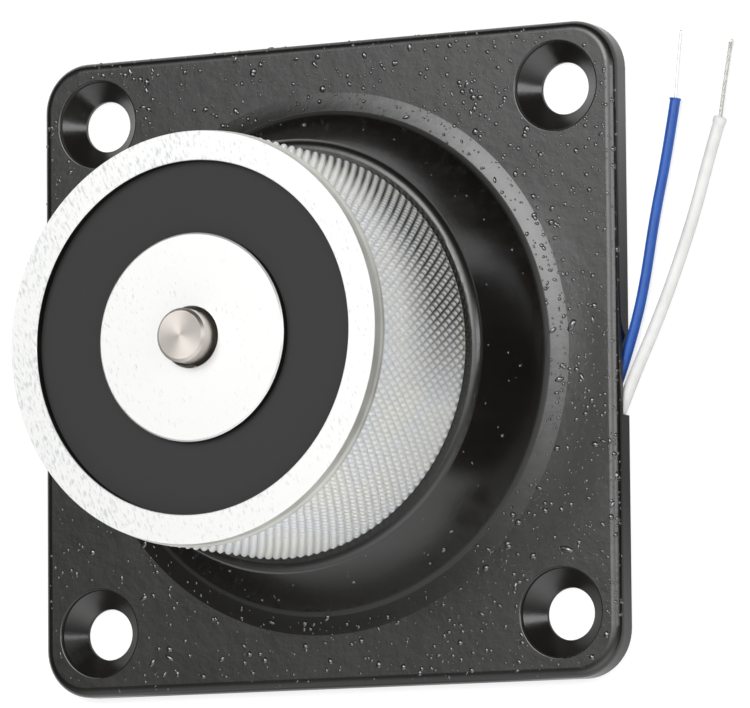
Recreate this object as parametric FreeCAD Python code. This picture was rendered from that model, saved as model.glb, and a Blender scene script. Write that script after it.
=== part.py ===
import FreeCAD, Part
import math
import os

from FreeCAD import Vector

# Electromagnetic door holder, in millimetres.
# It lies on the back of its mounting plate. +Z runs along the magnet's axis, out of the pole face,
# and the origin is the middle of the plate's back face.

# Mounting plate
plate_overhang = 15.0
plate_thickness = 3.3
plate_corner_radius = 6.0
plate_edge_round = 1.2
mount_inset = 7.9
mount_hole_d = 6.4
countersink_d = 10.8
countersink_rim_depth = 0.6
countersink_half_angle = 45.0
countersink_rim_round = 0.25

# Hollow cone boss that carries the magnet
boss_height = 10.3
boss_rim = 1.3
boss_lean_deg = 25.5
boss_foot_round = 0.8
foot_ring_width = 2.66
foot_ring_rise = 0.57
foot_ring_hollow = 0.07
boss_shoulder_round = 1.4
boss_wall = 2.8
boss_web = 4.2
boss_inner_round = 1.5

# Turned steel pot with its pole in one piece
magnet_d = 50.0
magnet_height = 23.4
magnet_front_chamfer = 0.2
magnet_back_chamfer = 0.2
collar_step = 0.1
collar_width = 2.2
yoke_thickness = 5.4
pot_wall = 3.8
coil_space_width = 8.7
pole_edge_chamfer = 0.2

# Sprung ejector pin
pin_d = 6.5
pin_clearance = 0.45
pin_bore_length = 5.0
pin_stand_out = 2.64
pin_chamfer = 0.35
pin_flange_clearance = 0.3
pin_flange_thickness = 2.0
pin_spigot_clearance = 0.8
pin_spigot_length = 4.0
spring_outer_d = 9.6
spring_bore_clearance = 0.5
spring_wire_d = 1.0
spring_middle_turns = 4.0
spring_end_turns = 1.25
spring_end_gap = 0.02

# Threaded plug that closes the spring bore
plug_shoulder = 0.7
plug_thread_clearance = 0.05
plug_thickness = 4.5
plug_hex_across_flats = 5.0
plug_hex_depth = 2.5
plug_chamfer = 0.4

# Coil
coil_clearance = 0.1
former_wall = 1.0
former_height = 14.6
winding_gap = 0.9
tape_thickness = 0.35
tail_d = 0.8
tail_slot_d = 1.6
potting_recess = 1.1
potting_clearance = 0.02

# Screws that hold the magnet on the boss
fixing_count = 3
fixing_first_deg = 30.0
fixing_d = 4.0
fixing_thread_clearance = 0.05
fixing_hole_d = 4.5
fixing_reach = 4.0
fixing_tip_clearance = 0.6
fixing_head_d = 7.0
fixing_head_height = 2.6
fixing_head_round = 0.4
fixing_slot_width = 1.2
fixing_slot_depth = 1.1
washer_outer_d = 7.6
washer_inner_d = 4.3
washer_thickness = 0.9
washer_split = 0.6

# Lead way through the yoke and the boss
lead_way_deg = -30.0
lead_way_pitch = 5.0
splice_d = 2.4
splice_clearance = 0.05
yoke_hole_d = 3.0
splice_end_gap = 0.1
splice_round = 0.5
grommet_wall = 1.0
grommet_lip = 1.0
grommet_lip_thickness = 1.2
grommet_fit_clearance = 0.05

# Leads and their bare ends
blue_lead_d = 1.3
white_lead_d = 1.5
blue_conductor_d = 0.4
white_conductor_d = 0.5
arc_share = 0.45
channel_side_clearance = 0.2
channel_roof_clearance = 0.2

# Levels, radii and diameters that follow from the sizes above
plate_side = magnet_d + 2 * plate_overhang
mount_pitch = plate_side - 2 * mount_inset
boss_top_d = magnet_d + 2 * boss_rim
collar_d = magnet_d - 2 * collar_step
pin_bore_d = pin_d + 2 * pin_clearance
spring_bore_d = spring_outer_d + 2 * spring_bore_clearance
pin_flange_d = spring_bore_d - 2 * pin_flange_clearance
pin_spigot_d = spring_outer_d - 2 * (spring_wire_d + pin_spigot_clearance)
plug_d = spring_bore_d + 2 * plug_shoulder
plate_front = plate_thickness
boss_top = plate_front + boss_height
boss_top_r = boss_top_d / 2
boss_lean = math.tan(math.radians(boss_lean_deg))
boss_foot = plate_front + foot_ring_rise
boss_foot_r = boss_top_r + (boss_top - boss_foot) * boss_lean
foot_ring_r = boss_foot_r + foot_ring_width
boss_wall_across = boss_wall / math.cos(math.radians(boss_lean_deg))
magnet_back = boss_top
magnet_front = magnet_back + magnet_height
boss_ceiling = magnet_back - boss_web
cavity_ceiling_r = boss_top_r + (boss_top - boss_ceiling) * boss_lean - boss_wall_across
cavity_mouth_r = cavity_ceiling_r + boss_ceiling * boss_lean
magnet_r = magnet_d / 2
coil_space_r = magnet_r - pot_wall
pole_r = coil_space_r - coil_space_width
coil_floor = magnet_back + yoke_thickness
pin_stop = magnet_front - pin_bore_length
plug_seat = magnet_back + plug_thickness + (yoke_thickness - plug_thickness) / 2
coil_middle_r = (pole_r + coil_space_r) / 2
grommet_face = boss_ceiling - grommet_lip_thickness


def cylinder(radius, low, high, x=0.0, y=0.0):
    """Upright round bar from one level to another."""
    return Part.makeCylinder(radius, high - low, Vector(x, y, low))


def on_circle(radius, degrees, z=0.0):
    """Point at a radius and an angle round the magnet's axis."""
    turn = math.radians(degrees)
    return Vector(radius * math.cos(turn), radius * math.sin(turn), z)


def circle_edges(shape, radius, z, centre=Vector(0, 0, 0)):
    """Edges of a shape that are circles of one radius, at one level, round one upright axis."""
    found = []
    for edge in shape.Edges:
        curve = edge.Curve
        if not isinstance(curve, Part.Circle):
            continue
        offset = curve.Center - Vector(centre.x, centre.y, z)
        if abs(curve.Radius - radius) < 1e-4 and offset.Length < 1e-4:
            found.append(edge)
    return found


def rounded_square(side, corner_radius, z):
    """Closed outline of a square with round corners."""
    straight = side / 2 - corner_radius
    edges = []
    for quarter in range(4):
        low = 90.0 * quarter
        corner = Vector(straight, straight, z)
        corner = FreeCAD.Rotation(Vector(0, 0, 1), low).multVec(corner)
        ends = [corner + on_circle(corner_radius, low + part * 45.0) for part in range(3)]
        edges.append(Part.Arc(*ends).toShape())
        next_start = FreeCAD.Rotation(Vector(0, 0, 1), low + 90.0).multVec(
            Vector(straight + corner_radius, straight, z)
        )
        edges.append(Part.LineSegment(ends[2], next_start).toShape())
    return Part.Wire(edges)


def slot_bar(length_between, radius, low, high, centre, degrees):
    """Upright bar with an oblong section: two round ends, a given distance apart."""
    along = on_circle(1.0, degrees)
    across = Vector(-along.y, along.x, 0)
    a = Vector(centre.x, centre.y, low) - along * (length_between / 2)
    b = Vector(centre.x, centre.y, low) + along * (length_between / 2)
    edges = [
        Part.LineSegment(a + across * radius, b + across * radius).toShape(),
        Part.Arc(b + across * radius, b + along * radius, b - across * radius).toShape(),
        Part.LineSegment(b - across * radius, a - across * radius).toShape(),
        Part.Arc(a - across * radius, a - along * radius, a + across * radius).toShape(),
    ]
    return Part.Face(Part.Wire(edges)).extrude(Vector(0, 0, high - low))


def mount_centres():
    """Centres of the four mounting holes."""
    half = mount_pitch / 2
    return [Vector(sx * half, sy * half, 0) for sx in (1, -1) for sy in (1, -1)]


def fixing_centres():
    """Centres of the screws between boss and magnet."""
    step = 360.0 / fixing_count
    return [on_circle(coil_middle_r, fixing_first_deg + i * step) for i in range(fixing_count)]


def lead_way_centre():
    """Middle of the way that the two leads take through the boss."""
    return on_circle(coil_middle_r, lead_way_deg)


def splice_centres():
    """Places of the blue and the white splice, side by side across the lead way."""
    across = on_circle(lead_way_pitch / 2, lead_way_deg + 90.0)
    return lead_way_centre() + across, lead_way_centre() - across


def lead_routes():
    """Route points of the blue and the white lead, from the grommet to the end of the insulation."""
    blue_start, white_start = splice_centres()
    blue_z = blue_lead_d / 2
    white_z = white_lead_d / 2
    blue = [
        Vector(blue_start.x, blue_start.y, grommet_face),
        Vector(blue_start.x, blue_start.y, grommet_face - 2.8),
        Vector(16.9, -7.5, 2.7),
        Vector(18.7, -10.1, blue_z),
        Vector(22.0, -13.6, blue_z),
        Vector(28.3, -15.0, blue_z),
        Vector(34.2, -12.3, blue_z),
        Vector(38.2, -6.3, blue_z),
        Vector(41.3, 2.4, blue_z),
        Vector(42.7, 8.0, blue_z),
        Vector(44.0, 15.4, blue_z),
        Vector(45.8, 23.0, blue_z),
        Vector(47.0, 29.7, blue_z),
    ]
    white = [
        Vector(white_start.x, white_start.y, grommet_face),
        Vector(white_start.x, white_start.y, grommet_face - 2.9),
        Vector(14.1, -12.3, 2.3),
        Vector(16.0, -15.0, white_z),
        Vector(19.9, -17.9, white_z),
        Vector(26.3, -19.0, white_z),
        Vector(32.6, -17.3, white_z),
        Vector(36.2, -13.4, white_z),
        Vector(38.9, -8.6, white_z),
        Vector(41.25, -3.3, white_z),
        Vector(44.35, 2.95, white_z),
        Vector(47.0, 9.2, white_z),
        Vector(49.5, 15.9, white_z),
        Vector(51.3, 21.9, white_z),
        Vector(52.95, 26.8, white_z),
    ]
    return blue, white


def conductor_routes(blue, white):
    """Route points of the two bare ends, which droop from the insulation towards the surface."""
    blue_bare = [
        blue[-1],
        Vector(47.3, 33.9, 0.45),
        Vector(47.7, 38.0, 0.3),
    ]
    white_bare = [
        white[-1],
        Vector(53.6, 31.6, 0.5),
        Vector(54.5, 36.4, 0.35),
    ]
    return blue_bare, white_bare


def shifted(points, sideways):
    """A route laid flat at the plate's back and moved to the left of its direction."""
    moved = []
    for i, point in enumerate(points):
        run = points[min(i + 1, len(points) - 1)] - points[max(i - 1, 0)]
        across = Vector(-run.y, run.x, 0).normalize()
        moved.append(Vector(point.x, point.y, 0) + across * sideways)
    return moved


def route_path(points):
    """Straight runs joined by tangent arcs, the radii of the arcs and the length of the path."""
    edges = []
    radii = []
    start = points[0]
    for before, corner, after in zip(points, points[1:], points[2:]):
        run_in = corner - before
        run_out = after - corner
        reach = arc_share * min(run_in.Length, run_out.Length)
        half_turn = run_in.getAngle(run_out) / 2
        radius = reach / math.tan(half_turn)
        radii.append(radius)
        arc_start = corner - run_in.normalize() * reach
        arc_end = corner + run_out.normalize() * reach
        inward = (arc_start + arc_end) * 0.5 - corner
        middle = corner + inward.normalize() * (radius / math.cos(half_turn) - radius)
        edges.append(Part.LineSegment(start, arc_start).toShape())
        edges.append(Part.Arc(arc_start, middle, arc_end).toShape())
        start = arc_end
    edges.append(Part.LineSegment(start, points[-1]).toShape())
    length = sum(edge.Length for edge in edges)
    return Part.Wire(edges), radii, length


def tube(name, points, diameter):
    """Round cord along a route; prints its radii and how its volume compares with its length."""
    path, radii, length = route_path(points)
    section = Part.Wire([Part.Circle(points[0], points[1] - points[0], diameter / 2).toShape()])
    solid = path.makePipeShell([section], True, False)
    expected = math.pi * (diameter / 2) ** 2 * length
    print(name, "length", round(length, 2), "volume share", round(solid.Volume / expected, 4))
    print(name, "radii", [round(radius, 1) for radius in radii])
    return solid


def boss_shell():
    """Outside of the boss as a solid: a cone on a low hollow-ground ring that runs out on the plate."""
    run = Vector(boss_foot_r - foot_ring_r, 0, foot_ring_rise)
    out_of_chord = Vector(run.z, 0, -run.x).normalize()
    ring_low = Vector(foot_ring_r, 0, plate_front)
    ring_middle = ring_low + run * 0.5 - out_of_chord * foot_ring_hollow
    ring_high = ring_low + run
    axis_low = Vector(0, 0, 0)
    axis_high = Vector(0, 0, boss_top)
    top_rim = Vector(boss_top_r, 0, boss_top)
    edges = [
        Part.LineSegment(axis_low, Vector(foot_ring_r, 0, 0)).toShape(),
        Part.LineSegment(Vector(foot_ring_r, 0, 0), ring_low).toShape(),
        Part.Arc(ring_low, ring_middle, ring_high).toShape(),
        Part.LineSegment(ring_high, top_rim).toShape(),
        Part.LineSegment(top_rim, axis_high).toShape(),
        Part.LineSegment(axis_high, axis_low).toShape(),
    ]
    section = Part.Face(Part.Wire(edges))
    return section.revolve(Vector(0, 0, 0), Vector(0, 0, 1), 360.0)


def cavity():
    """Hollow under the boss, with a round between its wall and its ceiling."""
    hollow = Part.makeCone(cavity_mouth_r, cavity_ceiling_r, boss_ceiling)
    ceiling = circle_edges(hollow, cavity_ceiling_r, boss_ceiling)
    return hollow.makeFillet(boss_inner_round, ceiling)


def mount_hole(centre):
    """Countersunk mounting hole: land, cone and a straight rim."""
    land_r = mount_hole_d / 2
    rim_r = countersink_d / 2
    rim_low = plate_front - countersink_rim_depth
    cone_height = (rim_r - land_r) / math.tan(math.radians(countersink_half_angle))
    land = cylinder(land_r, -1.0, plate_front, centre.x, centre.y)
    foot = Vector(centre.x, centre.y, rim_low - cone_height)
    cone = Part.makeCone(land_r, rim_r, cone_height, foot)
    rim = cylinder(rim_r, rim_low, plate_front + 1.0, centre.x, centre.y)
    return land.fuse([cone, rim])


def lead_channel():
    """Shallow channel in the plate's back that lets both leads out under its edge."""
    blue, white = lead_routes()
    blue_side = shifted(blue[4:10], blue_lead_d / 2 + channel_side_clearance)
    white_side = shifted(white[4:11], -white_lead_d / 2 - channel_side_clearance)
    blue_path, _, _ = route_path(blue_side)
    white_path, _, _ = route_path(white_side)
    inner_end = Part.LineSegment(white_side[0], blue_side[0]).toShape()
    outer_end = Part.LineSegment(blue_side[-1], white_side[-1]).toShape()
    outline = Part.Wire(Part.__sortEdges__(blue_path.Edges + white_path.Edges + [inner_end, outer_end]))
    roof = white_lead_d + channel_roof_clearance
    return Part.Face(outline).extrude(Vector(0, 0, roof))


def base_plate():
    """Moulded plate with its hollow boss, countersunk holes and lead channel, in one piece."""
    outline = rounded_square(plate_side, plate_corner_radius, 0.0)
    plate = Part.Face(outline).extrude(Vector(0, 0, plate_thickness))
    front_edges = [edge for edge in plate.Edges if edge.BoundBox.ZMin > plate_front - 1e-6]
    plate = plate.makeFillet(plate_edge_round, front_edges)

    body = plate.fuse(boss_shell()).removeSplitter()
    body = body.makeFillet(boss_foot_round, circle_edges(body, boss_foot_r, boss_foot))
    body = body.makeFillet(boss_shoulder_round, circle_edges(body, boss_top_r, boss_top))

    body = body.cut(cavity())
    for centre in fixing_centres():
        body = body.cut(cylinder(fixing_hole_d / 2, 0.0, boss_top, centre.x, centre.y))
    body = body.cut(grommet_way(grommet_fit_clearance, 0.0, boss_top))
    body = body.cut(lead_channel())
    for centre in mount_centres():
        body = body.cut(mount_hole(centre))
        rim = circle_edges(body, countersink_d / 2, plate_front, centre)
        body = body.makeFillet(countersink_rim_round, rim)
    return body


def grommet_way(extra, low, high):
    """Oblong bar round both splices: the grommet's waist, or the opening it sits in."""
    radius = splice_d / 2 + splice_clearance + grommet_wall + extra
    return slot_bar(lead_way_pitch, radius, low, high, lead_way_centre(), lead_way_deg + 90.0)


def magnet_body():
    """Steel pot turned in one piece: yoke, outer wall and pole, with a knurled outside."""
    collar_low = magnet_front - collar_width
    body = cylinder(magnet_r, magnet_back, collar_low)
    body = body.makeChamfer(magnet_back_chamfer, circle_edges(body, magnet_r, magnet_back))
    collar = cylinder(collar_d / 2, magnet_back, magnet_front)
    collar = collar.makeChamfer(magnet_front_chamfer, circle_edges(collar, collar_d / 2, magnet_front))
    body = body.fuse(collar.cut(cylinder(collar_d, magnet_back, collar_low)))

    coil_space = cylinder(coil_space_r, coil_floor, magnet_front + 1.0)
    coil_space = coil_space.cut(cylinder(pole_r, coil_floor, magnet_front + 1.0))
    body = body.cut(coil_space)
    pole_rims = circle_edges(body, pole_r, magnet_front)
    body = body.makeChamfer(pole_edge_chamfer, pole_rims)

    body = body.cut(cylinder(pin_bore_d / 2, magnet_back - 1.0, magnet_front + 1.0))
    body = body.cut(cylinder(spring_bore_d / 2, magnet_back - 1.0, pin_stop))
    body = body.cut(cylinder(plug_d / 2, magnet_back - 1.0, plug_seat))
    for centre in fixing_centres():
        tip = magnet_back + fixing_reach + fixing_tip_clearance
        thread_r = fixing_d / 2 + fixing_thread_clearance
        body = body.cut(cylinder(thread_r, magnet_back - 1.0, tip, centre.x, centre.y))
    for centre in splice_centres():
        body = body.cut(cylinder(yoke_hole_d / 2, magnet_back - 1.0, coil_floor + 1.0, centre.x, centre.y))
    return body


def former_levels():
    """Levels of the coil former: floor, winding bottom, winding top and front."""
    low = coil_floor
    high = coil_floor + former_height
    return low, low + former_wall, high - former_wall, high


def coil_bobbin():
    """Plastic spool round the pole, with two slots where the winding's tails pass its flange."""
    low, winding_low, winding_high, high = former_levels()
    inner_r = pole_r + coil_clearance
    flange_r = coil_space_r - coil_clearance
    spool = cylinder(flange_r, low, high)
    groove = cylinder(flange_r + 1.0, winding_low, winding_high)
    groove = groove.cut(cylinder(inner_r + former_wall, winding_low, winding_high))
    spool = spool.cut(groove)
    spool = spool.cut(cylinder(inner_r, low - 1.0, high + 1.0))
    for centre in splice_centres():
        spool = spool.cut(cylinder(tail_slot_d / 2, low - 1.0, winding_low, centre.x, centre.y))
    return spool


def winding_radii():
    """Inner and outer radius of the copper."""
    inner = pole_r + coil_clearance + former_wall
    outer = coil_space_r - coil_clearance - winding_gap
    return inner, outer


def coil_winding():
    """Copper winding on the spool, with its start and finish tails down to the splices."""
    low, winding_low, winding_high, high = former_levels()
    inner, outer = winding_radii()
    copper = cylinder(outer, winding_low, winding_high).cut(cylinder(inner, winding_low, winding_high))
    tails = []
    for centre in splice_centres():
        tails.append(cylinder(tail_d / 2, low - splice_end_gap, winding_low, centre.x, centre.y))
    return copper.fuse(tails)


def winding_tape():
    """Insulating tape round the copper."""
    _, winding_low, winding_high, _ = former_levels()
    _, outer = winding_radii()
    wrap = cylinder(outer + tape_thickness, winding_low, winding_high)
    return wrap.cut(cylinder(outer, winding_low, winding_high))


def potting_ring():
    """Resin ring cast over the coil, a little below the pole face."""
    _, _, _, low = former_levels()
    high = magnet_front - potting_recess
    ring = cylinder(coil_space_r - potting_clearance, low, high)
    return ring.cut(cylinder(pole_r + potting_clearance, low, high))


def ejector_pin():
    """Turned pin: nose, stop flange and a spigot that centres the spring."""
    nose_top = magnet_front + pin_stand_out
    nose = cylinder(pin_d / 2, pin_stop - pin_flange_thickness, nose_top)
    nose = nose.makeChamfer(pin_chamfer, circle_edges(nose, pin_d / 2, nose_top))
    flange_low = pin_stop - pin_flange_thickness
    flange = cylinder(pin_flange_d / 2, flange_low, pin_stop)
    spigot = cylinder(pin_spigot_d / 2, flange_low - pin_spigot_length, flange_low)
    spigot_foot = circle_edges(spigot, pin_spigot_d / 2, flange_low - pin_spigot_length)
    spigot = spigot.makeChamfer(pin_chamfer, spigot_foot)
    return nose.fuse([flange, spigot]).removeSplitter()


def ejector_spring():
    """Compression spring with closed, ground ends, between the plug and the pin's flange."""
    low = plug_seat + spring_end_gap
    high = pin_stop - pin_flange_thickness - spring_end_gap
    coil_r = (spring_outer_d - spring_wire_d) / 2
    closed_rise = spring_end_turns * spring_wire_d
    steps_a_turn = 12
    turns = spring_middle_turns + 2 * spring_end_turns
    middle_rise = high - low - 2 * closed_rise
    points = []
    for step in range(round(turns * steps_a_turn) + 1):
        turned = step / steps_a_turn
        middle = min(max(turned - spring_end_turns, 0.0), spring_middle_turns) / spring_middle_turns
        closed = min(turned, spring_end_turns) + max(turned - turns + spring_end_turns, 0.0)
        z = low + closed * spring_wire_d + middle * middle_rise
        points.append(on_circle(coil_r, turned * 360.0, z))
    curve = Part.BSplineCurve()
    curve.interpolate(points)
    path = Part.Wire([curve.toShape()])
    start, direction = curve.value(curve.FirstParameter), curve.tangent(curve.FirstParameter)[0]
    section = Part.Wire([Part.Circle(start, direction, spring_wire_d / 2).toShape()])
    coil = path.makePipeShell([section], True, True)
    return coil.common(cylinder(spring_outer_d, low, high))


def spring_plug():
    """Threaded plug with a hexagon socket, which closes the spring bore."""
    low = plug_seat - plug_thickness
    radius = plug_d / 2 - plug_thread_clearance
    plug = cylinder(radius, low, plug_seat)
    plug = plug.makeChamfer(plug_chamfer, circle_edges(plug, radius, low))
    corner_r = plug_hex_across_flats / math.sqrt(3.0)
    corners = [on_circle(corner_r, 60.0 * i, low) for i in range(7)]
    socket = Part.Face(Part.makePolygon(corners)).extrude(Vector(0, 0, plug_hex_depth))
    return plug.cut(socket)


def fixing_screws():
    """Cheese head screws from the hollow of the boss up into the yoke."""
    screws = []
    seat = boss_ceiling - washer_thickness
    for centre in fixing_centres():
        head = cylinder(fixing_head_d / 2, seat - fixing_head_height, seat, centre.x, centre.y)
        foot = circle_edges(head, fixing_head_d / 2, seat - fixing_head_height, centre)
        head = head.makeFillet(fixing_head_round, foot)
        corner = Vector(centre.x - fixing_head_d / 2, centre.y - fixing_slot_width / 2,
                        seat - fixing_head_height)
        slot = Part.makeBox(fixing_head_d, fixing_slot_width, fixing_slot_depth, corner)
        shank = cylinder(fixing_d / 2, seat, magnet_back + fixing_reach, centre.x, centre.y)
        screws.append(head.cut(slot).fuse(shank))
    return Part.makeCompound(screws)


def spring_washers():
    """Split washers under the screw heads."""
    washers = []
    low = boss_ceiling - washer_thickness
    for centre in fixing_centres():
        ring = cylinder(washer_outer_d / 2, low, boss_ceiling, centre.x, centre.y)
        ring = ring.cut(cylinder(washer_inner_d / 2, low, boss_ceiling, centre.x, centre.y))
        corner = Vector(centre.x, centre.y - washer_split / 2, low)
        split = Part.makeBox(washer_outer_d, washer_split, washer_thickness, corner)
        washers.append(ring.cut(split))
    return Part.makeCompound(washers)


def lead_grommet():
    """Rubber grommet with a bore for each lead and a lip under the boss's ceiling."""
    waist = grommet_way(0.0, grommet_face, magnet_back)
    lip = grommet_way(grommet_lip, grommet_face, boss_ceiling)
    body = waist.fuse(lip)
    for centre in splice_centres():
        bore = cylinder(splice_d / 2 + splice_clearance, 0.0, boss_top, centre.x, centre.y)
        body = body.cut(bore)
    return body


def splice(centre):
    """Shrink sleeve over the joint between a winding tail and its lead."""
    high = coil_floor - splice_end_gap
    sleeve = cylinder(splice_d / 2, grommet_face, high, centre.x, centre.y)
    return sleeve.makeFillet(splice_round, circle_edges(sleeve, splice_d / 2, high, centre))


def build():
    blue_route, white_route = lead_routes()
    blue_bare, white_bare = conductor_routes(blue_route, white_route)
    blue_splice_centre, white_splice_centre = splice_centres()
    pieces = {
        "base_plate": base_plate(),
        "magnet_body": magnet_body(),
        "coil_bobbin": coil_bobbin(),
        "coil_winding": coil_winding(),
        "winding_tape": winding_tape(),
        "potting_ring": potting_ring(),
        "ejector_pin": ejector_pin(),
        "ejector_spring": ejector_spring(),
        "spring_plug": spring_plug(),
        "fixing_screws": fixing_screws(),
        "spring_washers": spring_washers(),
        "lead_grommet": lead_grommet(),
        "blue_splice": splice(blue_splice_centre),
        "white_splice": splice(white_splice_centre),
        "blue_lead": tube("blue_lead", blue_route, blue_lead_d),
        "white_lead": tube("white_lead", white_route, white_lead_d),
        "blue_conductor": tube("blue_conductor", blue_bare, blue_conductor_d),
        "white_conductor": tube("white_conductor", white_bare, white_conductor_d),
    }
    os.makedirs("parts", exist_ok=True)
    for name, shape in pieces.items():
        shape.exportStep("parts/" + name + ".step")
        print(name, "solids", len(shape.Solids), "valid", shape.isValid(), "volume", round(shape.Volume, 2))


build()
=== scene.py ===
import math
import random

import bpy
from mathutils import Euler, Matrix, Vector


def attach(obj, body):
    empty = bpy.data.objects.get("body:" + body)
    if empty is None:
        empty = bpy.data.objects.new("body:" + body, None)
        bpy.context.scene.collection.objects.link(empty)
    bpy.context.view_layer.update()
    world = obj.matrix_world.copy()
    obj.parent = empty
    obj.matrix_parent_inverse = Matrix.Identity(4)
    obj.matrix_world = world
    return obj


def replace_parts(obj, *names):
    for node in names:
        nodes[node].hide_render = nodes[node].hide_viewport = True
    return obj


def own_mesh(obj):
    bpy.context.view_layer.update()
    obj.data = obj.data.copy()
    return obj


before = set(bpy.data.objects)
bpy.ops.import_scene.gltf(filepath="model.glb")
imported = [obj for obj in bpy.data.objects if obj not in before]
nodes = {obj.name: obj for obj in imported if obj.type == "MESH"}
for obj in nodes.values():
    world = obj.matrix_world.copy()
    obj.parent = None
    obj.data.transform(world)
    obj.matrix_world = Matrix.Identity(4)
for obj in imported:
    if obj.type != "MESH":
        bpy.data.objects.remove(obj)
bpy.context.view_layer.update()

MM = 0.001
BODY = "holder"

# Sizes taken over from the solids, in millimetres
PLATE_HALF = 40.0
PLATE_FRONT = 3.3
PLATE_EDGE = 1.2
CORNER_AT = 34.0
CORNER_FLAT_R = 4.6
HOLE_AT = 32.1
SINK_R = 5.4
FOOT_R = 30.94
FOOT_RISE = 0.57
FOOT_RING_R = 33.6
BOSS_TOP = 13.6
BOSS_TOP_R = 26.3
LEAN = math.radians(25.5)
MAGNET_BACK = 13.6
MAGNET_FRONT = 37.0
MAGNET_R = 25.0
COLLAR_R = 24.9
COLLAR_LOW = 34.8
COIL_SPACE_R = 21.2
COIL_FLOOR = 19.0
POLE_R = 12.5
BORE_R = 3.7
BORE_FOOT = 32.0
SPRING_BORE_R = 5.3
PLUG_SEAT = 18.55
PLUG_BORE_R = 6.0


# Camera, fitted to the photo: lengths in metres, angles in radians

PHOTO_WIDTH_PX = 750.0
FOCAL_PX = 6865.8155
SENSOR_WIDTH = 36.0
CAMERA_AT = Vector((0.395581, -0.092096, 0.745381))
CAMERA_TURN = Euler((0.1060251, 0.4831662, -0.0093241), "XYZ")


def make_camera():
    data = bpy.data.cameras.new("photo_camera")
    data.sensor_fit = "HORIZONTAL"
    data.sensor_width = SENSOR_WIDTH
    data.lens = FOCAL_PX / PHOTO_WIDTH_PX * SENSOR_WIDTH
    data.clip_start = 0.05
    data.clip_end = 20.0
    camera = bpy.data.objects.new("photo_camera", data)
    bpy.context.collection.objects.link(camera)
    camera.location = CAMERA_AT
    camera.rotation_euler = CAMERA_TURN
    bpy.context.scene.camera = camera


make_camera()


# Node helpers

def new_material(name):
    material = bpy.data.materials.new(name)
    material.use_nodes = True
    tree = material.node_tree
    shader = tree.nodes["Principled BSDF"]
    return material, tree, shader


def object_coords(tree, scale=(1.0, 1.0, 1.0), turn=(0.0, 0.0, 0.0)):
    """Object coordinates in metres, turned first and then stretched."""
    coords = tree.nodes.new("ShaderNodeTexCoord")
    turned = tree.nodes.new("ShaderNodeMapping")
    turned.inputs["Rotation"].default_value = turn
    tree.links.new(coords.outputs["Object"], turned.inputs["Vector"])
    stretched = tree.nodes.new("ShaderNodeMapping")
    stretched.inputs["Scale"].default_value = scale
    tree.links.new(turned.outputs["Vector"], stretched.inputs["Vector"])
    return stretched.outputs["Vector"]


def noise(tree, vector, scale, detail=2.0, roughness=0.5):
    made = tree.nodes.new("ShaderNodeTexNoise")
    made.inputs["Scale"].default_value = scale
    made.inputs["Detail"].default_value = detail
    made.inputs["Roughness"].default_value = roughness
    tree.links.new(vector, made.inputs["Vector"])
    return made.outputs["Fac"]


def ramp(tree, value, low, high, low_color, high_color):
    """Colour or grey between two stops."""
    made = tree.nodes.new("ShaderNodeValToRGB")
    made.color_ramp.elements[0].position = low
    made.color_ramp.elements[0].color = (*low_color, 1.0)
    made.color_ramp.elements[1].position = high
    made.color_ramp.elements[1].color = (*high_color, 1.0)
    tree.links.new(value, made.inputs["Fac"])
    return made.outputs["Color"]


def remap(tree, value, from_min, from_max, to_min, to_max):
    made = tree.nodes.new("ShaderNodeMapRange")
    made.inputs["From Min"].default_value = from_min
    made.inputs["From Max"].default_value = from_max
    made.inputs["To Min"].default_value = to_min
    made.inputs["To Max"].default_value = to_max
    tree.links.new(value, made.inputs["Value"])
    return made.outputs["Result"]


def feed(tree, socket, value):
    """Number, or another node's output, into a socket."""
    if isinstance(value, (int, float)):
        socket.default_value = value
    else:
        tree.links.new(value, socket)


def math_node(tree, operation, a, b):
    made = tree.nodes.new("ShaderNodeMath")
    made.operation = operation
    feed(tree, made.inputs[0], a)
    feed(tree, made.inputs[1], b)
    return made.outputs["Value"]


def product(tree, a, b):
    return math_node(tree, "MULTIPLY", a, b)


def added(tree, a, b):
    return math_node(tree, "ADD", a, b)


def separate(tree, vector):
    """X, Y and Z of a vector."""
    parts = tree.nodes.new("ShaderNodeSeparateXYZ")
    tree.links.new(vector, parts.inputs["Vector"])
    return parts.outputs["X"], parts.outputs["Y"], parts.outputs["Z"]


# sockets of the mix node that carry colours
MIX_A = 6
MIX_B = 7
MIX_RESULT = 2


def mixed(tree, factor, first, second):
    """Colour between two: the first at factor 0, the second, a fixed colour, at factor 1."""
    made = tree.nodes.new("ShaderNodeMix")
    made.data_type = "RGBA"
    tree.links.new(factor, made.inputs["Factor"])
    tree.links.new(first, made.inputs[MIX_A])
    made.inputs[MIX_B].default_value = (*second, 1.0)
    return made.outputs[MIX_RESULT]


def distance_to(tree, vector, place):
    made = tree.nodes.new("ShaderNodeVectorMath")
    made.operation = "DISTANCE"
    tree.links.new(vector, made.inputs[0])
    made.inputs[1].default_value = place
    return made.outputs["Value"]


def axis_distance(tree, vector):
    """Distance from the magnet's axis."""
    x, y, _ = separate(tree, vector)
    flat = tree.nodes.new("ShaderNodeCombineXYZ")
    tree.links.new(x, flat.inputs["X"])
    tree.links.new(y, flat.inputs["Y"])
    reach = tree.nodes.new("ShaderNodeVectorMath")
    reach.operation = "LENGTH"
    tree.links.new(flat.outputs["Vector"], reach.inputs[0])
    return reach.outputs["Value"]


def bump(tree, shader, height, distance, strength=1.0, after=None):
    made = tree.nodes.new("ShaderNodeBump")
    made.inputs["Strength"].default_value = strength
    made.inputs["Distance"].default_value = distance
    tree.links.new(height, made.inputs["Height"])
    if after is not None:
        tree.links.new(after, made.inputs["Normal"])
    tree.links.new(made.outputs["Normal"], shader.inputs["Normal"])
    return made.outputs["Normal"]


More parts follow.
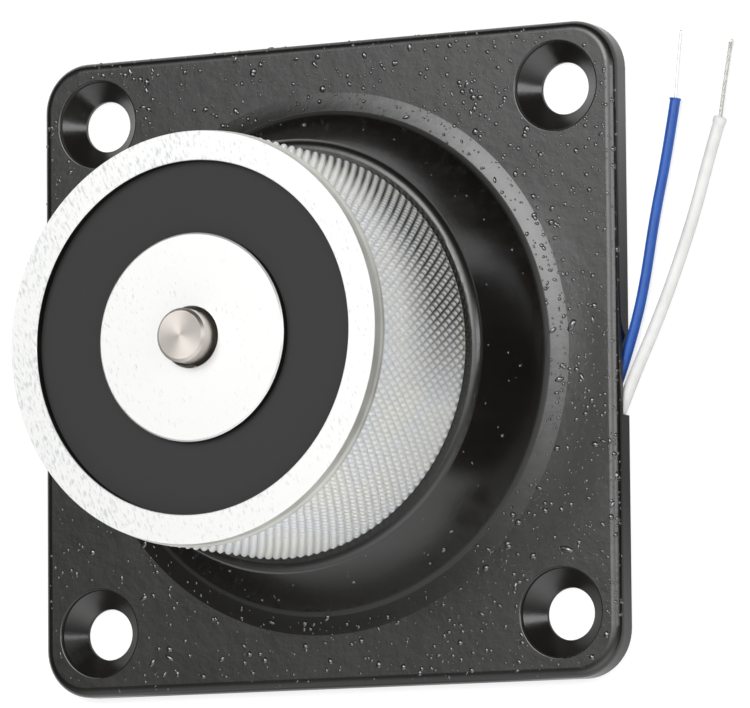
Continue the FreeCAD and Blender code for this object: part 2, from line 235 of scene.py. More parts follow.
def mottled(name, dark, light, scale, rough_low, rough_high, metallic=0.0, specular=0.5,
            grain=2500.0, grain_height=0.00001):
    """Surface with cloudy colour and gloss and a fine grain."""
    material, tree, shader = new_material(name)
    vector = object_coords(tree)
    cloud = noise(tree, vector, scale, 3.0)
    tree.links.new(ramp(tree, cloud, 0.3, 0.7, dark, light), shader.inputs["Base Color"])
    fine = noise(tree, vector, grain, 2.0)
    tree.links.new(remap(tree, cloud, 0.3, 0.7, rough_low, rough_high), shader.inputs["Roughness"])
    shader.inputs["Metallic"].default_value = metallic
    shader.inputs["Specular IOR Level"].default_value = specular
    bump(tree, shader, fine, grain_height)
    return material


# Materials

# dust in the corner at the foot of the boss, and the foot's soft run-out, in millimetres
DUST_FROM = 30.6
DUST_TO = 31.4
DUST_FADE = 0.2
RUNOUT_TO = 37.8
RUNOUT_HEIGHT = 0.17


def moulded_gloss(tree, vector, cloud, upward):
    """Uneven gloss, tighter on steep faces and dull from dust in the corner at the foot of the boss."""
    streak = noise(tree, object_coords(tree, (60.0, 900.0, 200.0)), 1.0, 3.0)
    gloss = added(tree, product(tree, cloud, 0.6), product(tree, streak, 0.4))
    even = remap(tree, gloss, 0.3, 0.7, 0.18, 0.25)
    steep = remap(tree, upward, 0.40, 0.70, 0.85, 1.0)
    reach = axis_distance(tree, vector)
    dust = product(tree, remap(tree, reach, DUST_FROM * MM, (DUST_FROM + DUST_FADE) * MM, 0.0, 0.4),
                   remap(tree, reach, (DUST_TO - DUST_FADE) * MM, DUST_TO * MM, 1.0, 0.0))
    return added(tree, product(tree, even, steep), dust)


def foot_runout(tree, vector):
    """Height of the soft foot that the boss has on its right, where it runs out into the plate."""
    x, y, _ = separate(tree, vector)
    reach = axis_distance(tree, vector)
    fall = math_node(tree, "POWER", remap(tree, reach, FOOT_RING_R * MM, RUNOUT_TO * MM, 1.0, 0.0), 2.0)
    rightward = product(tree, remap(tree, x, 0.012, 0.030, 0.0, 1.0),
                        remap(tree, y, 0.002, 0.022, 1.0, 0.0))
    return product(tree, fall, rightward)


def black_moulding():
    """Black plastic with a soft moulded grain, a shallow swell and uneven gloss."""
    material, tree, shader = new_material("black_moulding")
    vector = object_coords(tree)
    cloud = noise(tree, vector, 90.0, 4.0, 0.55)
    tree.links.new(ramp(tree, cloud, 0.3, 0.7, (0.0042, 0.0035, 0.0027), (0.0064, 0.0054, 0.0044)),
                   shader.inputs["Base Color"])
    geometry = tree.nodes.new("ShaderNodeNewGeometry")
    _, _, upward = separate(tree, geometry.outputs["True Normal"])
    tree.links.new(moulded_gloss(tree, vector, cloud, upward), shader.inputs["Roughness"])
    shader.inputs["Specular IOR Level"].default_value = 0.8
    grain = bump(tree, shader, noise(tree, vector, 2600.0, 2.0), 0.000012, 0.5)
    level = remap(tree, upward, 0.80, 0.95, 0.35, 1.0)
    rolling = product(tree, noise(tree, vector, 480.0, 3.0), level)
    swell = bump(tree, shader, rolling, 0.00005, 0.55, grain)
    bump(tree, shader, foot_runout(tree, vector), RUNOUT_HEIGHT * MM, 1.0, swell)
    return material


def droplet_material():
    """Glossy skin of the tiny raised droplets on the plate."""
    material, tree, shader = new_material("black_droplets")
    cloud = noise(tree, object_coords(tree), 700.0, 2.0)
    tree.links.new(ramp(tree, cloud, 0.3, 0.7, (0.0055, 0.0045, 0.0035), (0.009, 0.0075, 0.006)),
                   shader.inputs["Base Color"])
    tree.links.new(remap(tree, cloud, 0.3, 0.7, 0.06, 0.16), shader.inputs["Roughness"])
    shader.inputs["Specular IOR Level"].default_value = 1.0
    shader.inputs["Coat Weight"].default_value = 1.0
    shader.inputs["Coat IOR"].default_value = 1.8
    shader.inputs["Coat Roughness"].default_value = 0.04
    return material


def zinc_face():
    """Bright zinc plate on a milled face. Short slanting marks: most on the left, few on the pole."""
    material, tree, shader = new_material("zinc_face")
    vector = object_coords(tree)
    slant = object_coords(tree, (3300.0, 950.0, 300.0), (0.0, 0.0, math.radians(-20.0)))
    marks = noise(tree, slant, 1.0, 3.0, 0.62)
    area = product(tree, noise(tree, vector, 130.0, 2.0), 0.22)
    x, _, _ = separate(tree, vector)
    side = remap(tree, x, -0.022, 0.022, 0.0, 0.10)
    pole = remap(tree, axis_distance(tree, vector), POLE_R * MM, (POLE_R + 1.0) * MM, 0.07, 0.0)
    shade = added(tree, added(tree, marks, side), added(tree, area, pole))
    tree.links.new(ramp(tree, shade, 0.43, 0.61, (0.54, 0.57, 0.58), (0.825, 0.825, 0.815)),
                   shader.inputs["Base Color"])
    tree.links.new(remap(tree, shade, 0.45, 0.62, 0.50, 0.42), shader.inputs["Roughness"])
    shader.inputs["Metallic"].default_value = 0.6
    bump(tree, shader, marks, 0.00002, 0.3)
    return material


def zinc_collar():
    """Plain turned band between face and knurl: satin zinc with faint rings."""
    material, tree, shader = new_material("zinc_collar")
    vector = object_coords(tree)
    cloud = noise(tree, vector, 240.0, 3.0)
    tree.links.new(ramp(tree, cloud, 0.35, 0.65, (0.58, 0.58, 0.54), (0.67, 0.67, 0.635)),
                   shader.inputs["Base Color"])
    tree.links.new(remap(tree, cloud, 0.3, 0.7, 0.36, 0.48), shader.inputs["Roughness"])
    shader.inputs["Metallic"].default_value = 0.65
    rings = noise(tree, object_coords(tree, (30.0, 30.0, 5200.0)), 1.0, 2.0)
    bump(tree, shader, rings, 0.000008, 0.3)
    return material


def zinc_knurl():
    """Satin zinc on the rolled knurl, with faint tints and painted shade in the grooves at its upper
    rear.
    """
    material, tree, shader = new_material("zinc_knurl")
    vector = object_coords(tree)
    tint = noise(tree, vector, 130.0, 2.0)
    bright = ramp(tree, tint, 0.35, 0.65, (0.84, 0.86, 0.875), (0.88, 0.88, 0.835))
    _, y, z = separate(tree, vector)
    upper = remap(tree, y, -0.008, 0.003, 0.0, 1.0)
    rear = remap(tree, z, 0.030, 0.021, 0.0, 1.0)
    reach = axis_distance(tree, vector)
    groove = remap(tree, reach, (MAGNET_R - 0.28) * MM, (MAGNET_R - 0.01) * MM, 1.0, 0.0)
    # grooves near-black at the upper rear only: painted shade
    painted_groove_shade = product(tree, product(tree, upper, rear), groove)
    tree.links.new(mixed(tree, painted_groove_shade, bright, (0.07, 0.066, 0.058)), shader.inputs["Base Color"])
    fine = noise(tree, vector, 5200.0, 2.0)
    tree.links.new(remap(tree, fine, 0.3, 0.7, 0.28, 0.38), shader.inputs["Roughness"])
    shader.inputs["Metallic"].default_value = 0.28
    bump(tree, shader, fine, 0.00001, 0.4)
    return material


def turned_steel():
    """Turned nose of the pin: fine rings and a radial sheen."""
    material, tree, shader = new_material("turned_steel")
    vector = object_coords(tree)
    cloud = noise(tree, vector, 260.0, 2.0)
    tree.links.new(ramp(tree, cloud, 0.3, 0.7, (0.53, 0.49, 0.45), (0.62, 0.59, 0.55)),
                   shader.inputs["Base Color"])
    shader.inputs["Metallic"].default_value = 1.0
    shader.inputs["Roughness"].default_value = 0.36
    shader.inputs["Anisotropic"].default_value = 0.6
    tangent = tree.nodes.new("ShaderNodeTangent")
    tangent.direction_type = "RADIAL"
    tangent.axis = "Z"
    tree.links.new(tangent.outputs["Tangent"], shader.inputs["Tangent"])
    rings = math_node(tree, "SINE", product(tree, axis_distance(tree, vector), 21000.0), 0.0)
    bump(tree, shader, rings, 0.000004, 0.3)
    return material


def insulation(name, dark, light, rough):
    """Smooth plastic insulation with a slightly uneven skin."""
    material, tree, shader = new_material(name)
    vector = object_coords(tree)
    cloud = noise(tree, vector, 380.0, 3.0)
    tree.links.new(ramp(tree, cloud, 0.3, 0.7, dark, light), shader.inputs["Base Color"])
    tree.links.new(remap(tree, cloud, 0.3, 0.7, rough, rough + 0.12), shader.inputs["Roughness"])
    shader.inputs["Subsurface Weight"].default_value = 0.15
    shader.inputs["Subsurface Radius"].default_value = (0.0008, 0.0008, 0.0008)
    shader.inputs["Subsurface Scale"].default_value = 0.5
    bump(tree, shader, noise(tree, vector, 1500.0, 2.0), 0.00002, 0.4)
    return material


black = black_moulding()
droplets = droplet_material()
face_zinc = zinc_face()
knurl_zinc = zinc_knurl()
collar_zinc = zinc_collar()
pin_steel = turned_steel()
resin = mottled("potting_resin", (0.0205, 0.0205, 0.0215), (0.0255, 0.025, 0.0255), 160.0, 0.50, 0.60,
                specular=0.35, grain=1800.0, grain_height=0.000006)
# near-black film on the walls of the coil recess: painted shade
coil_recess_painted_shade = mottled("coil_recess_painted_shade", (0.004, 0.004, 0.003), (0.008, 0.0075, 0.006), 400.0, 0.45, 0.60,
                     specular=0.2)
plated = mottled("plated_screws", (0.58, 0.59, 0.60), (0.74, 0.75, 0.74), 900.0, 0.26, 0.40,
                 metallic=1.0)
spring_wire = mottled("spring_wire", (0.34, 0.34, 0.35), (0.48, 0.48, 0.48), 1200.0, 0.25, 0.36,
                      metallic=1.0)
nylon = mottled("natural_nylon", (0.70, 0.68, 0.60), (0.80, 0.78, 0.70), 300.0, 0.42, 0.55)
copper = mottled("enamelled_copper", (0.56, 0.24, 0.10), (0.70, 0.34, 0.15), 1600.0, 0.24, 0.34,
                 metallic=1.0)
film = mottled("polyester_film", (0.62, 0.45, 0.06), (0.74, 0.56, 0.10), 250.0, 0.16, 0.26)
rubber = mottled("black_rubber", (0.018, 0.018, 0.018), (0.030, 0.030, 0.030), 500.0, 0.62, 0.76)
sleeve = mottled("shrink_sleeve", (0.022, 0.022, 0.022), (0.034, 0.034, 0.034), 700.0, 0.38, 0.50)
tinned = mottled("tinned_strands", (0.62, 0.61, 0.58), (0.80, 0.79, 0.75), 2400.0, 0.24, 0.36,
                 metallic=1.0)
blue_skin = insulation("blue_insulation", (0.010, 0.078, 0.36), (0.015, 0.098, 0.42), 0.34)
white_skin = insulation("white_insulation", (0.675, 0.675, 0.665), (0.755, 0.755, 0.745), 0.36)


def paint(name, material):
    for used in nodes[name].material_slots:
        used.material = material


paint("base_plate", black)
paint("potting_ring", resin)
paint("ejector_pin", pin_steel)
paint("spring_plug", plated)
paint("fixing_screws", plated)
paint("spring_washers", plated)
paint("coil_bobbin", nylon)
paint("coil_winding", copper)
paint("winding_tape", film)
paint("lead_grommet", rubber)
paint("blue_splice", sleeve)
paint("white_splice", sleeve)


# Meshes

def mesh_object(name, points, faces, material):
    """New piece of the holder from points in millimetres."""
    mesh = bpy.data.meshes.new(name)
    mesh.from_pydata([(x * MM, y * MM, z * MM) for x, y, z in points], [], faces)
    mesh.materials.append(material)
    mesh.polygons.foreach_set("use_smooth", [True] * len(mesh.polygons))
    mesh.update()
    piece = bpy.data.objects.new(name, mesh)
    bpy.context.collection.objects.link(piece)
    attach(piece, BODY)
    return piece


def round_axis(radius, turn, height):
    return radius * math.cos(turn), radius * math.sin(turn), height


def ring_faces(faces, low, high, count):
    """Faces between two rings of points."""
    for i in range(count):
        j = (i + 1) % count
        faces.append((low + i, low + j, high + j, high + i))


def revolve(profile, count):
    """Points and faces of a profile of (radius, height) turned about Z. A None starts a new stretch."""
    points, faces = [], []
    previous = None
    for step in profile:
        if step is None:
            previous = None
            continue
        radius, height = step
        start = len(points)
        for i in range(count):
            points.append(round_axis(radius, 2.0 * math.pi * i / count, height))
        if previous is not None:
            ring_faces(faces, previous, start, count)
        previous = start
    return points, faces


def magnet_pot():
    """Face, collar, pole and bores of the pot. Sharp edges come from doubled rings."""
    chamfer = 0.2
    profile = [
        (MAGNET_R - 0.3, COLLAR_LOW - 0.25), (MAGNET_R - 0.3, COLLAR_LOW + 0.1), None,
        (MAGNET_R - 0.3, COLLAR_LOW + 0.1), (COLLAR_R, COLLAR_LOW + 0.14), None,
        (COLLAR_R + 0.06, COLLAR_LOW + 0.14), (COLLAR_R + 0.06, COLLAR_LOW + 0.4),
        (COLLAR_R - 0.02, COLLAR_LOW + 0.62), (COLLAR_R - 0.12, COLLAR_LOW + 0.78),
        (COLLAR_R - 0.15, COLLAR_LOW + 1.0), (COLLAR_R - 0.15, MAGNET_FRONT - 0.06), None,
        (COLLAR_R - 0.15, MAGNET_FRONT - 0.06), (COLLAR_R - chamfer, MAGNET_FRONT), None,
        (COLLAR_R - chamfer, MAGNET_FRONT), (23.0, MAGNET_FRONT),
        (COIL_SPACE_R + 0.08, MAGNET_FRONT), None,
        (COIL_SPACE_R + 0.08, MAGNET_FRONT), (COIL_SPACE_R, MAGNET_FRONT - 0.08), None,
        (COIL_SPACE_R, MAGNET_FRONT - 0.08), (COIL_SPACE_R, 30.0), (COIL_SPACE_R, COIL_FLOOR), None,
        (COIL_SPACE_R, COIL_FLOOR), (POLE_R, COIL_FLOOR), None,
        (POLE_R, COIL_FLOOR), (POLE_R, 30.0), (POLE_R, MAGNET_FRONT - chamfer), None,
        (POLE_R, MAGNET_FRONT - chamfer), (POLE_R - chamfer, MAGNET_FRONT), None,
        (POLE_R - chamfer, MAGNET_FRONT), (9.0, MAGNET_FRONT), (BORE_R + 0.06, MAGNET_FRONT), None,
        (BORE_R + 0.06, MAGNET_FRONT), (BORE_R, MAGNET_FRONT - 0.06), None,
        (BORE_R, MAGNET_FRONT - 0.06), (BORE_R, BORE_FOOT), None,
        (BORE_R, BORE_FOOT), (SPRING_BORE_R, BORE_FOOT), (SPRING_BORE_R, PLUG_SEAT),
        (PLUG_BORE_R, PLUG_SEAT), (PLUG_BORE_R, MAGNET_BACK), None,
        (PLUG_BORE_R, MAGNET_BACK), (24.2, MAGNET_BACK), (MAGNET_R - 0.25, MAGNET_BACK), None,
        (MAGNET_R - 0.25, MAGNET_BACK), (MAGNET_R - 0.25, MAGNET_BACK + 0.3),
    ]
    points, faces = revolve(profile, 288)
    pot = mesh_object("magnet_pot", points, faces, face_zinc)
    pot.data.materials.append(collar_zinc)
    pot.data.materials.append(coil_recess_painted_shade)
    for polygon in pot.data.polygons:
        reach = polygon.center.xy.length / MM
        low = polygon.center.z / MM < MAGNET_FRONT - 0.12
        if reach > COLLAR_R - chamfer and polygon.center.z / MM < MAGNET_FRONT - 0.02:
            polygon.material_index = 1
        # walls of the coil recess above the potting get the near-black painted shade
        elif low and POLE_R - 0.1 < reach < COIL_SPACE_R + 0.1:
            polygon.material_index = 2
    return pot


KNURL_STARTS = 136
KNURL_STEPS = 8
KNURL_RISE = 2.0
KNURL_DEPTH = 0.36


def ridge(phase):
    """Height of one broad ridge between two narrow grooves, from 0 to 1."""
    phase = phase % 1.0
    near = min(phase, 1.0 - phase) * 2.0
    return 1.0 - (1.0 - near) ** 1.8


def knurled_band():
    """Two crossed families of thirty-degree ridges round the pot."""
    columns = KNURL_STARTS * KNURL_STEPS
    step = KNURL_RISE / KNURL_STEPS
    rows = int((COLLAR_LOW - MAGNET_BACK) / step) + 1
    points, faces = [], []
    for j in range(rows + 1):
        z = max(COLLAR_LOW - j * step, MAGNET_BACK + 0.03)
        fade = min(1.0, 0.35 + j / 3.0, 0.35 + (rows - j) / 3.0)
        for i in range(columns):
            turn = 2.0 * math.pi * i / columns
            rise = min(ridge((i + j) / KNURL_STEPS), ridge((i - j) / KNURL_STEPS))
            radius = MAGNET_R - KNURL_DEPTH * (1.0 - rise * fade)
            points.append(round_axis(radius, turn, z))
    for j in range(rows):
        for i in range(columns):
            k = (i + 1) % columns
            a, b = j * columns + i, j * columns + k
            c, d = a + columns, b + columns
            if (i - j) % KNURL_STEPS == 0:
                faces += [(a, d, b), (a, c, d)]
            elif (i + j + 1) % KNURL_STEPS == 0:
                faces += [(a, c, b), (b, c, d)]
            elif (i + j) % 2 == 0:
                faces += [(a, d, b), (a, c, d)]
            else:
                faces += [(a, c, b), (b, c, d)]
    return mesh_object("knurled_band", points, faces, knurl_zinc)


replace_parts(magnet_pot(), "magnet_body")
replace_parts(knurled_band(), "magnet_body")


def push_spring():
    """Spring behind the pin, copied from the solid into a mesh of its own, at rest length."""
    solid = nodes["ejector_spring"]
    points = [tuple(solid.matrix_world @ vertex.co / MM) for vertex in solid.data.vertices]
    faces = [tuple(polygon.vertices) for polygon in solid.data.polygons]
    spring = mesh_object("push_spring", points, faces, spring_wire)
    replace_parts(spring, "ejector_spring")
    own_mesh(spring)


push_spring()


# Droplets

FLAT_DROPLETS = 1250
RING_TRIES = 560
RING_SLOPE = math.radians(12.0)
FLANK_TRIES = 110
EDGE_RUN = 33.0
EDGE_DROPLETS = ((1, 0, 130), (0, 1, 60), (-1, 0, 16), (0, -1, 20))

chance = random.Random(17)


def dome(centre, normal, half_width, half_length, height, turn, points, faces):
    """One raised droplet: a low dome with a slightly uneven rim, sunk a little into its surface."""
    normal = Vector(normal).normalized()
    side = normal.orthogonal().normalized()
    other = normal.cross(side)
    along = side * math.cos(turn) + other * math.sin(turn)
    across = normal.cross(along)
    count = 10 if half_length > 0.25 else 7
    levels = ((1.0, -0.12), (0.97, 0.25), (0.78, 0.66), (0.42, 0.93))
    start = len(points)
    wobble = [1.0 + chance.uniform(-0.12, 0.12) for _ in range(count)]
    for share, rise in levels:
        for i in range(count):
            angle = 2.0 * math.pi * i / count
            spot = (centre + along * (half_length * share * wobble[i] * math.cos(angle))
                    + across * (half_width * share * wobble[i] * math.sin(angle))
                    + normal * (height * rise))
            points.append(tuple(spot))
    points.append(tuple(centre + normal * height))
    top = len(points) - 1
    for level in range(len(levels) - 1):
        low = start + level * count
        ring_faces(faces, low, low + count, count)
    low = start + (len(levels) - 1) * count
    for i in range(count):
        faces.append((low + i, low + (i + 1) % count, top))


def droplet_size():
    pick = chance.random()
    if pick < 0.62:
        return chance.uniform(0.08, 0.16)
    if pick < 0.92:
        return chance.uniform(0.16, 0.28)
    return chance.uniform(0.28, 0.42)


def density(x, y):
    """Share of droplets kept: most at the right and along the top, fewest at the left."""
    right = max(0.0, min(1.0, (x + PLATE_HALF) / (2.0 * PLATE_HALF)))
    top = max(0.0, min(1.0, (y + PLATE_HALF) / (2.0 * PLATE_HALF)))
    return 0.22 + 0.55 * right + 0.28 * top


def clear_of_holes(x, y, margin):
    for hx in (-HOLE_AT, HOLE_AT):
        for hy in (-HOLE_AT, HOLE_AT):
            if math.hypot(x - hx, y - hy) < SINK_R + margin:
                return False
    return True


def past_corner(x, y):
    over_x, over_y = abs(x) - CORNER_AT, abs(y) - CORNER_AT
    return over_x > 0.0 and over_y > 0.0 and math.hypot(over_x, over_y) > CORNER_FLAT_R


def kept_turn():
    """Angle round the boss, or None where the droplets are thinned out."""
    turn = chance.uniform(-math.pi, math.pi)
    x, y, _ = round_axis(PLATE_HALF, turn, 0.0)
    return None if chance.random() > density(x, y) else turn


def flat_droplets(add):
    """Flat front of the plate."""
    flat_half = PLATE_HALF - PLATE_EDGE
    made = 0
    while made < FLAT_DROPLETS:
        x, y = chance.uniform(-flat_half, flat_half), chance.uniform(-flat_half, flat_half)
        if math.hypot(x, y) < FOOT_RING_R + 0.1 or not clear_of_holes(x, y, 0.35) or past_corner(x, y):
            continue
        if chance.random() > density(x, y):
            continue
        add((x, y, PLATE_FRONT), (0.0, 0.0, 1.0), droplet_size())
        made += 1


def ring_droplets(add):
    """Low ring at the foot of the boss."""
    for _ in range(RING_TRIES):
        turn = kept_turn()
        if turn is None:
            continue
        out = chance.random() ** 0.8
        radius = FOOT_R + 0.4 + out * (FOOT_RING_R - FOOT_R - 0.3)
        height = PLATE_FRONT + FOOT_RISE * (1.0 - out) * 0.92
        normal = round_axis(math.sin(RING_SLOPE), turn, math.cos(RING_SLOPE))
        add(round_axis(radius, turn, height), normal, droplet_size() * 0.8)


def flank_droplets(add):
    """Leaning flank of the boss."""
    for _ in range(FLANK_TRIES):
        height = chance.uniform(5.4, BOSS_TOP - 1.2)
        turn = kept_turn()
        if turn is None:
            continue
        radius = BOSS_TOP_R + (BOSS_TOP - height) * math.tan(LEAN)
        normal = round_axis(math.cos(LEAN), turn, math.sin(LEAN))
        add(round_axis(radius, turn, height), normal, droplet_size() * 0.9)


def edge_droplets(add):
    """Rounded front edge of the plate."""
    for side_x, side_y, number in EDGE_DROPLETS:
        for _ in range(number):
            run = chance.uniform(-EDGE_RUN, EDGE_RUN)
            lean = math.radians(chance.uniform(15.0, 88.0))
            reach = PLATE_HALF - PLATE_EDGE + PLATE_EDGE * math.cos(lean)
            height = PLATE_FRONT - PLATE_EDGE + PLATE_EDGE * math.sin(lean)
            add((reach * side_x + run * side_y, reach * side_y + run * side_x, height),
                (side_x * math.cos(lean), side_y * math.cos(lean), math.sin(lean)),
                droplet_size() * 0.8)


def plate_droplets():
    points, faces = [], []

    def add(centre, normal, size):
        stretch = chance.uniform(1.0, 1.35) if chance.random() < 0.85 else chance.uniform(1.6, 2.4)
        dome(Vector(centre), normal, size, size * stretch, size * chance.uniform(0.55, 0.8),
             chance.uniform(0.0, math.pi), points, faces)

    flat_droplets(add)
    ring_droplets(add)
    flank_droplets(add)
    edge_droplets(add)
    return mesh_object("plate_droplets", points, faces, droplets)


plate_droplets()


# Leads

BLUE_ROUTE = (
    (15.843, -6.260, 8.2), (15.843, -6.260, 5.4), (16.9, -7.5, 2.7), (18.7, -10.1, 0.65),
    (22.0, -13.6, 0.65), (28.3, -15.0, 0.65), (34.2, -12.3, 0.65), (38.2, -6.3, 0.65),
    (41.3, 2.4, 0.65), (42.7, 8.0, 0.65), (44.0, 15.4, 0.65), (45.8, 23.0, 0.65), (47.0, 29.7, 0.65),
)
WHITE_ROUTE = (
    (13.343, -10.590, 8.2), (13.343, -10.590, 5.3), (14.1, -12.3, 2.3), (16.0, -15.0, 0.75),
    (19.9, -17.9, 0.75), (26.3, -19.0, 0.75), (32.6, -17.3, 0.75), (36.2, -13.4, 0.75),
    (38.9, -8.6, 0.75), (41.25, -3.3, 0.75), (44.35, 2.95, 0.75), (47.0, 9.2, 0.75),
    (49.5, 15.9, 0.75), (51.3, 21.9, 0.75), (52.95, 26.8, 0.75),
)
BLUE_BARE = ((47.0, 29.7, 0.65), (47.3, 33.9, 0.45), (47.7, 38.0, 0.3))
WHITE_BARE = ((52.95, 26.8, 0.75), (53.6, 31.6, 0.6), (54.5, 36.4, 0.5))


def route_curve(name, route, diameter):
    """Curve along one smooth spline with the route's points as its control points."""
    curve = bpy.data.curves.new(name, "CURVE")
    curve.dimensions = "3D"
    spline = curve.splines.new("NURBS")
    spline.points.add(len(route) - 1)
    for point, (x, y, z) in zip(spline.points, route):
        point.co = (x * MM, y * MM, z * MM, 1.0)
    spline.order_u = 3
    spline.use_endpoint_u = True
    spline.resolution_u = 12
    curve.bevel_depth = diameter / 2 * MM
    curve.bevel_resolution = 5
    curve.use_fill_caps = True
    piece = bpy.data.objects.new(name, curve)
    bpy.context.collection.objects.link(piece)
    return piece


def route_points(route):
    """Points along the smooth spline of a route, in millimetres."""
    line = route_curve("route_line", route, 0.0)
    bpy.context.view_layer.update()
    mesh = bpy.data.meshes.new_from_object(line)
    points = [vertex.co / MM for vertex in mesh.vertices]
    bpy.data.objects.remove(line)
    bpy.data.meshes.remove(mesh)
    return points


WIRE_SAMPLES = 60
WIRE_SIDES = 8
SPLAY = 0.5
SPLAY_FROM = 0.8


def cross_directions(way):
    """Two directions square to a way, the first of them level."""
    side = way.cross(Vector((0, 0, 1))).normalized()
    return side, side.cross(way)


def outward(side, up, angle):
    return side * math.cos(angle) + up * math.sin(angle)


def tube_faces(faces, low, count):
    """Faces between a ring of points and the ring that follows it."""
    high = low + count
    for i in range(count):
        j = (i + 1) % count
        faces.append((low + i, high + i, high + j, low + j))


def place_along(line, lengths, at):
    """Spot at a length along a line, with the two directions across it."""
    past = next((i for i, length in enumerate(lengths) if length >= at), 1)
    k = max(0, min(len(lengths) - 2, past - 1))
    span = lengths[k + 1] - lengths[k]
    spot = line[k].lerp(line[k + 1], (at - lengths[k]) / span if span else 0.0)
    side, up = cross_directions((line[k + 1] - line[k]).normalized())
    return spot, side, up


def wire_tube(middles, wire_r, points, faces):
    """Round wire through its middles, closed at both ends."""
    start = len(points)
    for spot, side, up in middles:
        for i in range(WIRE_SIDES):
            angle = 2.0 * math.pi * i / WIRE_SIDES
            points.append(tuple(spot + outward(side, up, angle) * wire_r))
    for s in range(len(middles) - 1):
        tube_faces(faces, start + s * WIRE_SIDES, WIRE_SIDES)
    last = start + (len(middles) - 1) * WIRE_SIDES
    faces.append(tuple(start + i for i in range(WIRE_SIDES)))
    faces.append(tuple(last + i for i in reversed(range(WIRE_SIDES))))


def strands(name, route, bundle_d, wires, twist):
    """Bare end of fine wires twisted round the first along the route, a little splayed at the tip."""
    line = route_points(route)
    lengths = [0.0]
    for a, b in zip(line, line[1:]):
        lengths.append(lengths[-1] + (b - a).length)
    total = lengths[-1]
    points, faces = [], []
    wire_r = bundle_d / 2 if wires == 1 else bundle_d / 6
    for wire in range(wires):
        outer = wire > 0
        base = 2.0 * math.pi * wire / max(1, wires - 1)
        flare = SPLAY * (0.3 + 0.7 * math.sin(base) ** 2) / (1.0 - SPLAY_FROM)
        reach = total * (chance.uniform(0.93, 1.0) if outer else 1.0)
        middles = []
        for s in range(WIRE_SAMPLES + 1):
            at = reach * s / WIRE_SAMPLES
            spot, side, up = place_along(line, lengths, at)
            if outer:
                away = 2.0 * wire_r * (1.0 + flare * max(0.0, at / total - SPLAY_FROM))
                spot = spot + outward(side, up, base + 2.0 * math.pi * at / twist) * away
            middles.append((spot, side, up))
        wire_tube(middles, wire_r, points, faces)
    return mesh_object(name, points, faces, tinned)


def insulation_end(name, centre, way, radius, length, material):
    """Slightly thickened, uneven rim where the insulation was stripped."""
    way = Vector(way).normalized()
    side, up = cross_directions(way)
    profile = ((0.95, -1.0), (1.10, -0.62), (1.16, -0.2), (1.10, 0.12), (0.86, 0.26), (0.45, 0.30))
    count = 28
    points, faces = [], []
    for share, along in profile:
        for i in range(count):
            angle = 2.0 * math.pi * i / count
            uneven = 1.0 + 0.05 * math.sin(2.0 * angle + 0.6) + 0.03 * math.sin(5.0 * angle)
            spot = (Vector(centre) + way * (along * length)
                    + outward(side, up, angle) * (radius * share * uneven))
            spot.z = max(spot.z, 0.0)
            points.append(tuple(spot))
    for level in range(len(profile) - 1):
        tube_faces(faces, level * count, count)
    faces.append(tuple((len(profile) - 1) * count + i for i in reversed(range(count))))
    return mesh_object(name, points, faces, material)


def lead(name, route, bare, diameter, node_name, bare_node, material,
         wires, bundle, twist, rim):
    """One flying lead with its stripped end."""
    piece = route_curve(name, route, diameter)
    piece.data.materials.append(material)
    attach(piece, BODY)
    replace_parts(piece, node_name)
    tail = strands(name + "_strands", bare, bundle, wires, twist)
    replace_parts(tail, bare_node)
    way = Vector(route[-1]) - Vector(route[-2])
    cap = insulation_end(name + "_rim", route[-1], way, diameter / 2, rim, material)
    return piece


lead("blue_flying_lead", BLUE_ROUTE, BLUE_BARE, 1.3, "blue_lead", "blue_conductor",
     blue_skin, wires=1, bundle=0.30, twist=1.0, rim=0.25)
lead("white_flying_lead", WHITE_ROUTE, WHITE_BARE, 1.5, "white_lead", "white_conductor",
     white_skin, wires=7, bundle=0.50, twist=2.6, rim=0.8)


# Floor and light

FLOOR_HALF = 1.5
FLOOR_DROP = 0.00002
# middles of the painted dark patch and the painted shadow that reflections see on the floor
PAINTED_DARK_PATCH_AT = (0.118, -0.012, 0.0)
PAINTED_SHADOW_AT = (0.0, -0.006, 0.0)
SKY = 0.09
LOBES = (
    ((-0.08, 0.325, 0.942), 25.0, 6.0),
    ((-0.28, 0.40, 0.872), 30.0, 1.5),
    ((0.0, -0.10, 0.995), 25.0, 0.7),
    ((0.42, 0.115, 0.90), 25.0, 2.3),
    ((0.50, -0.75, 0.42), 6.0, 1.3),
    ((-0.20, -0.88, 0.42), 6.0, 0.9),
)


def diffuse(tree, grey):
    made = tree.nodes.new("ShaderNodeBsdfDiffuse")
    made.inputs["Color"].default_value = (grey, grey, grey, 1.0)
    return made.outputs["BSDF"]


def white_light(tree, kind, strength):
    made = tree.nodes.new(kind)
    made.inputs["Color"].default_value = (1.0, 1.0, 1.0, 1.0)
    feed(tree, made.inputs["Strength"], strength)
    return made.outputs[0]


def pick_shader(tree, factor, first, second):
    """First shader at factor 0, second at factor 1."""
    made = tree.nodes.new("ShaderNodeMixShader")
    tree.links.new(factor, made.inputs["Fac"])
    tree.links.new(first, made.inputs[1])
    tree.links.new(second, made.inputs[2])
    return made.outputs["Shader"]


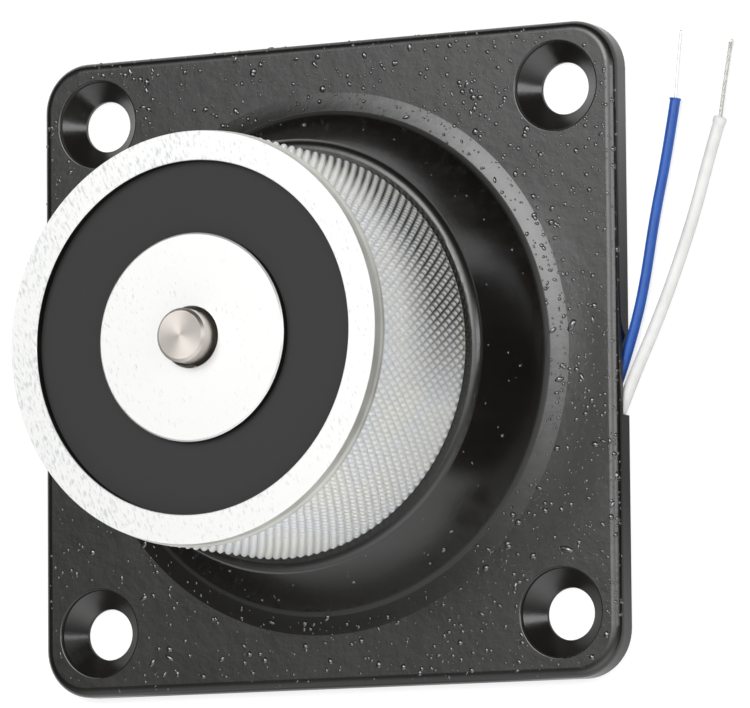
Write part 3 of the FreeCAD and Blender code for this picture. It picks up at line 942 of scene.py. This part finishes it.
def floor_material():
    """White floor. Reflections see a painted shadow on it close to the plate and a painted dark patch
    on its right.
    """
    material = bpy.data.materials.new("floor_white")
    material.use_nodes = True
    tree = material.node_tree
    tree.nodes.clear()
    out = tree.nodes.new("ShaderNodeOutputMaterial")
    path = tree.nodes.new("ShaderNodeLightPath")
    together = tree.nodes.new("ShaderNodeAddShader")
    tree.links.new(diffuse(tree, 0.42), together.inputs[0])
    tree.links.new(white_light(tree, "ShaderNodeEmission", 0.68), together.inputs[1])
    vector = object_coords(tree)
    # seen only by reflections: a painted dark patch on the right and a painted shadow close to the
    # plate
    painted_dark_patch = remap(tree, distance_to(tree, vector, PAINTED_DARK_PATCH_AT), 0.071, 0.076, 0.02, 1.0)
    painted_shadow = remap(tree, distance_to(tree, vector, PAINTED_SHADOW_AT), 0.042, 0.054, 0.32, 1.0)
    mirrored = white_light(tree, "ShaderNodeEmission", product(tree, painted_dark_patch, painted_shadow))
    glossy = pick_shader(tree, path.outputs["Is Glossy Ray"], diffuse(tree, 0.80), mirrored)
    surface = pick_shader(tree, path.outputs["Is Camera Ray"], glossy, together.outputs["Shader"])
    tree.links.new(surface, out.inputs["Surface"])
    return material


def make_floor():
    mesh = bpy.data.meshes.new("floor")
    corners = ((-1, -1), (1, -1), (1, 1), (-1, 1))
    points = [(FLOOR_HALF * x, FLOOR_HALF * y, -FLOOR_DROP) for x, y in corners]
    mesh.from_pydata(points, [], [(0, 1, 2, 3)])
    mesh.materials.append(floor_material())
    floor = bpy.data.objects.new("floor", mesh)
    bpy.context.collection.objects.link(floor)


def lobe(tree, direction, toward, sharpness, strength):
    """Light that falls off with a power of the cosine from one direction."""
    made = tree.nodes.new("ShaderNodeVectorMath")
    made.operation = "DOT_PRODUCT"
    tree.links.new(direction, made.inputs[0])
    made.inputs[1].default_value = Vector(toward).normalized()
    facing = math_node(tree, "MAXIMUM", made.outputs["Value"], 0.0)
    return product(tree, math_node(tree, "POWER", facing, sharpness), strength)


def make_world():
    """Faint even sky with soft lobes of light. The camera itself sees plain white."""
    world = bpy.data.worlds.new("studio")
    bpy.context.scene.world = world
    world.use_nodes = True
    tree = world.node_tree
    tree.nodes.clear()
    out = tree.nodes.new("ShaderNodeOutputWorld")
    path = tree.nodes.new("ShaderNodeLightPath")
    direction = tree.nodes.new("ShaderNodeTexCoord").outputs["Generated"]
    total = SKY
    for toward, sharpness, strength in LOBES:
        total = added(tree, total, lobe(tree, direction, toward, sharpness, strength))
    light = white_light(tree, "ShaderNodeBackground", total)
    plain = white_light(tree, "ShaderNodeBackground", 1.0)
    surface = pick_shader(tree, path.outputs["Is Camera Ray"], light, plain)
    tree.links.new(surface, out.inputs["Surface"])


def softbox(name, place, width, height, radiance):
    """Rectangular lamp turned towards the middle of the plate's back."""
    data = bpy.data.lights.new(name, "AREA")
    data.shape = "RECTANGLE"
    data.size = width
    data.size_y = height
    data.energy = radiance * math.pi * width * height
    lamp = bpy.data.objects.new(name, data)
    lamp.location = place
    lamp.rotation_euler = Vector(place).to_track_quat("Z", "Y").to_euler()
    bpy.context.collection.objects.link(lamp)


softbox("side_light", (0.462, 0.080, 0.302), 0.15, 0.33, 3.6)
softbox("upper_light", (-0.19, 0.155, 0.50), 0.16, 0.13, 0.5)
make_floor()
make_world()
bpy.context.scene.view_settings.view_transform = "Standard"
